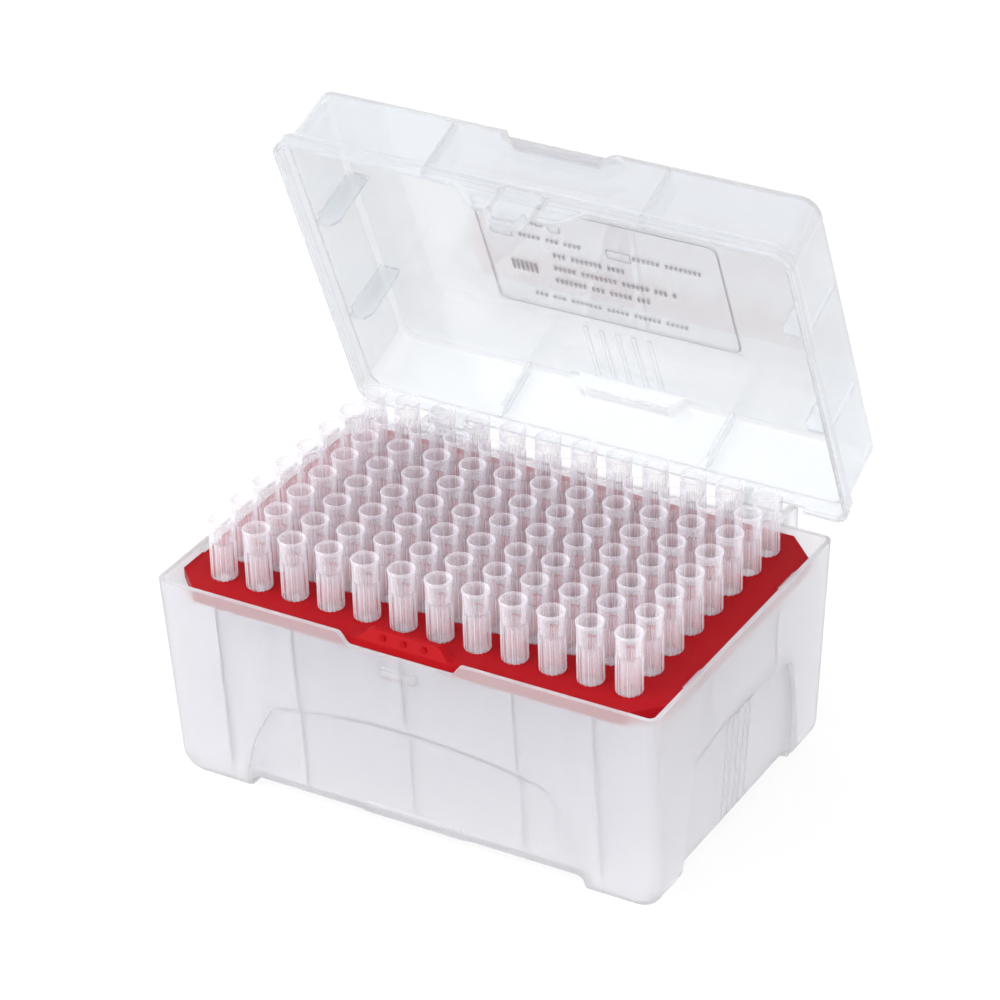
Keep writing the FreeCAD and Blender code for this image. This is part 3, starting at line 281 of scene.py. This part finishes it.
EDGE_WIDTH = 0.22 * MM
EDGE_SEGMENTS = 2
EDGE_ANGLE = math.radians(35.0)
FLAT_ANGLE = math.radians(0.5)
COPY_DOUBLES = 2e-6


def softened(node, name):
    """Copy of a moulded node, in its own plastic, whose creases are rounded by a small bevel."""
    mesh = frame["nodes"][node].data.copy()
    mesh.name = name
    work = bmesh.new()
    work.from_mesh(mesh)
    bmesh.ops.remove_doubles(work, verts=work.verts, dist=COPY_DOUBLES)
    bmesh.ops.dissolve_limit(work, angle_limit=FLAT_ANGLE, verts=work.verts, edges=work.edges)
    work.to_mesh(mesh)
    work.free()
    mesh.polygons.foreach_set("use_smooth", np.ones(len(mesh.polygons), dtype=bool))
    piece = bpy.data.objects.new(name, mesh)
    bpy.context.collection.objects.link(piece)
    bevel = piece.modifiers.new("edge", "BEVEL")
    bevel.width = EDGE_WIDTH
    bevel.segments = EDGE_SEGMENTS
    bevel.limit_method = "ANGLE"
    bevel.angle_limit = EDGE_ANGLE
    bevel.use_clamp_overlap = True
    level = piece.modifiers.new("level", "WEIGHTED_NORMAL")
    level.keep_sharp = False
    return piece


# Label print: laid out in millimetres on the shut lid, where the label is level -------------------

HINGE = frame["record"]["behaviour"]["joints"][0]
HINGE_Y, HINGE_Z = HINGE["pos_m"][1], HINGE["pos_m"][2]
OPENED = math.radians(-HINGE["range_deg"][0])


def turned_about_hinge(points, angle):
    """Points in metres turned about the hinge: back and up from it become cos back + sin up and
    cos up - sin back."""
    back, up = points[..., 1] - HINGE_Y, points[..., 2] - HINGE_Z
    turn, lift = math.cos(angle), math.sin(angle)
    return np.stack((points[..., 0], HINGE_Y + turn * back + lift * up,
                     HINGE_Z - lift * back + turn * up), axis=-1)


def swung(points):
    """Points on the shut lid, in millimetres, carried to the lid where it stands open."""
    return turned_about_hinge(points * MM, OPENED)


def closed_box(node):
    """Low and high corners, in millimetres, of a lid part when the lid is shut."""
    mesh = frame["nodes"][node].data
    points = np.empty(len(mesh.vertices) * 3)
    mesh.vertices.foreach_get("co", points)
    shut = turned_about_hinge(points.reshape(-1, 3), -OPENED) / MM
    return shut.min(axis=0), shut.max(axis=0)


LABEL_LOW, LABEL_HIGH = closed_box("label")
LABEL_MIDDLE = (LABEL_LOW + LABEL_HIGH)[:2] / 2
LABEL_HALF = (LABEL_HIGH - LABEL_LOW)[:2] / 2
INK_GAP, INK_THICK = 0.01, 0.03
OUTLINE_INSET, OUTLINE_RADIUS, OUTLINE_WIDTH = 0.4, 2.2, 0.42
FRAME_RADIUS, FRAME_WIDTH = 0.4, 0.3
LEAST_RADIUS = 0.05
CORNER_STEPS, BAR_CORNER_STEPS = 6, 2
BAR_ROUNDNESS = 0.4


def rounded_path(half_x, half_y, radius, steps):
    """Points round a rectangle with quarter-circle corners: corner offset + radius turned."""
    quarter = np.linspace(0.0, np.pi / 2, steps)
    angle = (quarter[None] + (np.arange(4) * np.pi / 2)[:, None]).ravel()
    side = np.repeat(np.arange(4), steps)
    corner_x = np.array((1, -1, -1, 1))[side] * (half_x - radius)
    corner_y = np.array((1, 1, -1, -1))[side] * (half_y - radius)
    return np.stack((corner_x + radius * np.cos(angle), corner_y + radius * np.sin(angle)), axis=-1)


def raised(rings, centre):
    """Flat rings about a centre, each lifted over the label's face by its own rise."""
    face = LABEL_HIGH[2] + INK_GAP
    return np.stack([np.concatenate((ring + centre, np.full((len(ring), 1), face + rise)), 1)
                     for ring, rise in rings])


def ink_frame(centre, half_x, half_y, radius, width):
    """Closed band of ink: a rounded rectangle and the same one a line width further in."""
    outer = rounded_path(half_x, half_y, radius, CORNER_STEPS)
    inner = rounded_path(half_x - width, half_y - width, max(radius - width, LEAST_RADIUS),
                         CORNER_STEPS)
    return raised([(outer, 0.0), (inner, 0.0), (inner, INK_THICK), (outer, INK_THICK)], centre)


def ink_bar(centre, half_x, half_y):
    """Closed bar of ink: rounded rectangle drawn in to its middle below and above."""
    edge = rounded_path(half_x, half_y, min(half_x, half_y) * BAR_ROUNDNESS, BAR_CORNER_STEPS)
    middle = edge * 0.0
    return raised([(middle, 0.0), (edge, 0.0), (edge, INK_THICK), (middle, INK_THICK)], centre)


# From the middle of the label: height, start, end and half height of the marks of each line.
PRINT_LINES = ((12.7, -20.0, 17.5, 0.60), (6.6, -13.5, 9.5, 0.80), (2.4, -13.0, 17.0, 0.80),
               (-1.9, -12.4, 5.5, 0.80), (4.0, -24.0, -17.5, 1.70), (-7.1, 8.5, 25.0, 0.70),
               (-6.6, -20.0, -4.5, 0.65), (-11.2, -24.0, -13.2, 0.60))
# From the middle of the label: place across and up, half width and half height.
PRINT_FRAMES = ((4.6, -6.8, 3.1, 1.5), (-24.8, -6.6, 2.8, 1.4), (-10.6, -11.2, 1.5, 1.4))
MARK, MARK_GAP, GROUP_GAP = 0.78, 0.36, 1.1
GROUP_LEAST, GROUP_MOST = 3, 8
PRINT_SEED = 11


def line_marks(height, start, end, half_height, chance):
    """Row of upright marks in groups of chance length, from start to end."""
    marks = []
    across = start
    while across < end:
        for _ in range(chance.integers(GROUP_LEAST, GROUP_MOST + 1)):
            if across < end:
                marks.append((across, height, MARK / 2, half_height))
            across += MARK + MARK_GAP
        across += GROUP_GAP
    return marks


def add_label_print(ink):
    """Generic print: a rounded outline, rows of small marks for lines, and three empty frames."""
    outline = ink_frame(LABEL_MIDDLE, LABEL_HALF[0] - OUTLINE_INSET, LABEL_HALF[1] - OUTLINE_INSET,
                        OUTLINE_RADIUS, OUTLINE_WIDTH)
    add_piece("label_outline", swung(outline), closed_grid_faces(1, 4, outline.shape[1]), ink,
              "lid")
    chance = np.random.default_rng(PRINT_SEED)
    marks = [mark for line in PRINT_LINES for mark in line_marks(*line, chance)]
    bars = np.stack([ink_bar(LABEL_MIDDLE + (x, y), half_x, half_y)
                     for x, y, half_x, half_y in marks])
    add_piece("label_marks", swung(bars), capped_grid_faces(len(marks), 4, bars.shape[2]), ink,
              "lid")
    frames = np.stack([ink_frame(LABEL_MIDDLE + (x, y), half_x, half_y, FRAME_RADIUS, FRAME_WIDTH)
                       for x, y, half_x, half_y in PRINT_FRAMES])
    add_piece("label_frames", swung(frames),
              closed_grid_faces(len(PRINT_FRAMES), 4, frames.shape[2]), ink, "lid")


# Materials ----------------------------------------------------------------------------------------

THIN_IOR = 1.3
WAVE_SHARE = 0.65
NOISE_LOW, NOISE_HIGH = 0.3, 0.7
# In metres above the feet: the top of a tip's ribs and the foot of its rim.
RIB_TOP, RIM_FOOT = 0.0577, 0.0626
# Extra white haze over the tips' ribs and rims, a painted highlight for the light they bend and
# reflect.
TIP_PAINTED_HIGHLIGHT = 0.12
RACK_SPECULAR = 0.05


def new_group(name, inputs, outputs):
    """Node group with named sockets; returns the group and its two end nodes."""
    group = bpy.data.node_groups.new(name, "ShaderNodeTree")
    for socket, kind, value in inputs:
        item = group.interface.new_socket(socket, in_out="INPUT", socket_type=kind)
        item.default_value = value
    for socket, kind in outputs:
        group.interface.new_socket(socket, in_out="OUTPUT", socket_type=kind)
    return group, group.nodes.new("NodeGroupInput"), group.nodes.new("NodeGroupOutput")


def moulded_skin():
    """Skin of a moulded part: fine grain and slow waves give a mask, a roughness and a normal."""
    group, inside, outside = new_group("moulded_skin", (
        ("Grain", "NodeSocketFloat", 1400.0), ("Waves", "NodeSocketFloat", 60.0),
        ("Rough Low", "NodeSocketFloat", 0.3), ("Rough High", "NodeSocketFloat", 0.4),
        ("Height", "NodeSocketFloat", 0.00002)),
        (("Mask", "NodeSocketFloat"), ("Roughness", "NodeSocketFloat"),
         ("Normal", "NodeSocketVector")))
    nodes, links = group.nodes, group.links
    place = nodes.new("ShaderNodeTexCoord")
    fine = nodes.new("ShaderNodeTexNoise")
    fine.inputs["Detail"].default_value = 1.0
    slow = nodes.new("ShaderNodeTexNoise")
    slow.inputs["Detail"].default_value = 1.0
    links.new(place.outputs["Object"], fine.inputs["Vector"])
    links.new(place.outputs["Object"], slow.inputs["Vector"])
    links.new(inside.outputs["Grain"], fine.inputs["Scale"])
    links.new(inside.outputs["Waves"], slow.inputs["Scale"])
    blend = nodes.new("ShaderNodeMix")
    blend.inputs["Factor"].default_value = WAVE_SHARE
    links.new(fine.outputs["Fac"], blend.inputs["A"])
    links.new(slow.outputs["Fac"], blend.inputs["B"])
    spread = nodes.new("ShaderNodeMapRange")
    spread.inputs["From Min"].default_value = NOISE_LOW
    spread.inputs["From Max"].default_value = NOISE_HIGH
    links.new(blend.outputs["Result"], spread.inputs["Value"])
    links.new(inside.outputs["Rough Low"], spread.inputs["To Min"])
    links.new(inside.outputs["Rough High"], spread.inputs["To Max"])
    bump = nodes.new("ShaderNodeBump")
    bump.inputs["Strength"].default_value = 1.0
    links.new(inside.outputs["Height"], bump.inputs["Distance"])
    links.new(blend.outputs["Result"], bump.inputs["Height"])
    links.new(slow.outputs["Fac"], outside.inputs["Mask"])
    links.new(spread.outputs["Result"], outside.inputs["Roughness"])
    links.new(bump.outputs["Normal"], outside.inputs["Normal"])
    return group


def shader_of(material):
    """The shader that a material's values are set on."""
    return material.node_tree.nodes["Principled BSDF"]


def solid_plastic(name, skin, tones, grain, waves, rough, height):
    """Moulded plastic: the skin gives its roughness and normal, and a colour between two tones."""
    material = bpy.data.materials.new(name)
    material.use_nodes = True
    tree, shader = material.node_tree, shader_of(material)
    surface = tree.nodes.new("ShaderNodeGroup")
    surface.node_tree = skin
    for socket, value in (("Grain", grain), ("Waves", waves), ("Rough Low", rough[0]),
                          ("Rough High", rough[1]), ("Height", height)):
        surface.inputs[socket].default_value = value
    colour = tree.nodes.new("ShaderNodeMix")
    colour.data_type = "RGBA"
    colour.inputs["A"].default_value = (*tones[0], 1.0)
    colour.inputs["B"].default_value = (*tones[1], 1.0)
    tree.links.new(surface.outputs["Mask"], colour.inputs["Factor"])
    tree.links.new(colour.outputs["Result"], shader.inputs["Base Color"])
    tree.links.new(surface.outputs["Roughness"], shader.inputs["Roughness"])
    tree.links.new(surface.outputs["Normal"], shader.inputs["Normal"])
    return material


def milky_plastic(name, skin, transmission, ior, coat, **finish):
    """Moulded plastic that bends and scatters the light it lets through, under a slight gloss."""
    material = solid_plastic(name, skin, **finish)
    shader = shader_of(material)
    shader.inputs["Transmission Weight"].default_value = transmission
    shader.inputs["IOR"].default_value = ior
    shader.inputs["Coat Weight"].default_value = coat
    shader.inputs["Coat Roughness"].default_value = finish["rough"][0] / 2
    return material


def thin_plastic(name, skin, transmission, haze, blend, **finish):
    """Clear thin wall that mostly lets light straight through: hazier where it is seen edge on."""
    material = solid_plastic(name, skin, **finish)
    shader = shader_of(material)
    shader.inputs["Transmission Weight"].default_value = transmission
    shader.inputs["IOR"].default_value = THIN_IOR
    shader.inputs["Coat Weight"].default_value = 1.0
    shader.inputs["Coat Roughness"].default_value = finish["rough"][0]
    tree = material.node_tree
    slant = tree.nodes.new("ShaderNodeLayerWeight")
    slant.inputs["Blend"].default_value = blend
    cover = tree.nodes.new("ShaderNodeMapRange")
    cover.inputs["To Min"].default_value = haze[0]
    cover.inputs["To Max"].default_value = haze[1]
    tree.links.new(slant.outputs["Facing"], cover.inputs["Value"])
    tree.links.new(cover.outputs["Result"], shader.inputs["Alpha"])
    return material


def painted_highlight_zones():
    """Mask of the painted highlight on a tip, by height: one over the ribs and at the rim, nought
    between.
    """
    group, inside, outside = new_group("painted_highlight_zones", (
        ("Rib Top", "NodeSocketFloat", RIB_TOP), ("Rim Foot", "NodeSocketFloat", RIM_FOOT)),
        (("Mask", "NodeSocketFloat"),))
    nodes, links = group.nodes, group.links
    place = nodes.new("ShaderNodeTexCoord")
    part = nodes.new("ShaderNodeSeparateXYZ")
    links.new(place.outputs["Object"], part.inputs["Vector"])
    ribs = nodes.new("ShaderNodeMath")
    ribs.operation = "LESS_THAN"
    rim = nodes.new("ShaderNodeMath")
    rim.operation = "GREATER_THAN"
    both = nodes.new("ShaderNodeMath")
    both.operation = "MAXIMUM"
    links.new(part.outputs["Z"], ribs.inputs[0])
    links.new(inside.outputs["Rib Top"], ribs.inputs[1])
    links.new(part.outputs["Z"], rim.inputs[0])
    links.new(inside.outputs["Rim Foot"], rim.inputs[1])
    links.new(ribs.outputs["Value"], both.inputs[0])
    links.new(rim.outputs["Value"], both.inputs[1])
    links.new(both.outputs["Value"], outside.inputs["Mask"])
    return group


def whiten(material, zones, amount):
    """Add painted highlight to a thin wall, as more white haze where a mask of zones is one."""
    tree, shader = material.node_tree, shader_of(material)
    haze = shader.inputs["Alpha"].links[0].from_socket
    mask = tree.nodes.new("ShaderNodeGroup")
    mask.node_tree = zones
    total = tree.nodes.new("ShaderNodeMath")
    total.operation = "MULTIPLY_ADD"
    total.use_clamp = True
    total.inputs[1].default_value = amount
    tree.links.new(mask.outputs["Mask"], total.inputs[0])
    tree.links.new(haze, total.inputs[2])
    tree.links.new(total.outputs["Value"], shader.inputs["Alpha"])


def dress(node, material):
    """Give a CAD node its material."""
    mesh = frame["nodes"][node].data
    mesh.materials.clear()
    mesh.materials.append(material)


# The whole ----------------------------------------------------------------------------------------

add_camera()
add_world(brightness=1.0)
add_soft_box("key", place=(-1.0, -1.4, 1.1), side=1.2, power=26.0, tint=(0.93, 0.96, 1.0))
add_soft_box("fill", place=(1.6, -0.9, 1.0), side=1.0, power=12.0, tint=(1.0, 0.97, 0.99))
set_light_paths()

skin = moulded_skin()
floor_paper = solid_plastic(
    "floor_paper", skin, tones=((0.13, 0.13, 0.13), (0.15, 0.15, 0.15)),
    grain=300.0, waves=8.0, rough=(0.9, 0.95), height=0.00001)
base_plastic = milky_plastic(
    "milky_base_plastic", skin, transmission=0.87, ior=1.35, coat=0.3,
    tones=((0.974, 0.970, 0.999), (0.984, 0.980, 0.999)),
    grain=1500.0, waves=25.0, rough=(0.50, 0.58), height=0.00001)
lid_plastic = thin_plastic(
    "clear_lid_plastic", skin, transmission=0.75, haze=(0.45, 1.0), blend=0.45,
    tones=((0.80, 0.83, 0.87), (0.84, 0.87, 0.90)),
    grain=900.0, waves=22.0, rough=(0.06, 0.11), height=0.00001)
tip_plastic = thin_plastic(
    "clear_tip_plastic", skin, transmission=0.22, haze=(0.03, 0.90), blend=0.36,
    tones=((0.88, 0.86, 0.92), (0.95, 0.93, 0.97)),
    grain=700.0, waves=120.0, rough=(0.06, 0.10), height=0.000002)
rack_plastic = solid_plastic(
    "red_rack_plastic", skin, tones=((0.32, 0.003, 0.006), (0.39, 0.005, 0.009)),
    grain=1800.0, waves=40.0, rough=(0.32, 0.42), height=0.00002)
felt = solid_plastic(
    "filter_felt", skin, tones=((0.80, 0.80, 0.80), (0.9, 0.9, 0.9)),
    grain=4000.0, waves=900.0, rough=(0.85, 1.0), height=0.0001)
film = thin_plastic(
    "label_film", skin, transmission=0.0, haze=(0.03, 0.30), blend=0.30,
    tones=((0.90, 0.91, 0.93), (0.95, 0.95, 0.97)),
    grain=500.0, waves=30.0, rough=(0.06, 0.12), height=0.00001)
ink = solid_plastic(
    "label_ink", skin, tones=((0.012, 0.012, 0.016), (0.025, 0.025, 0.03)),
    grain=2500.0, waves=300.0, rough=(0.5, 0.7), height=0.00001)

# The floor's grey paper glows up to white, so shadows hardly show on it.
shader_of(floor_paper).inputs["Emission Color"].default_value = (1.0, 1.0, 1.0, 1.0)
shader_of(floor_paper).inputs["Emission Strength"].default_value = FLOOR_GLOW
floor_paper.cycles.emission_sampling = "NONE"
shader_of(rack_plastic).inputs["Specular IOR Level"].default_value = RACK_SPECULAR
# Painted highlight: the tips' ribs and rims get more white haze, standing in for the light they
# bend and reflect.
whiten(tip_plastic, painted_highlight_zones(), TIP_PAINTED_HIGHLIGHT)

add_floor(floor_paper)
dress("base", base_plastic)
dress("lid", lid_plastic)
dress("rack_plate", rack_plastic)
dress("label", film)
add_tips(tip_plastic, felt)
add_label_print(ink)
for node, name, body, slot in (("base", "milky_tray", "box", "base_plastic"),
                               ("lid", "clear_lid", "lid", "lid_plastic")):
    shell = softened(node, name)
    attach(shell, body)
    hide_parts(node)
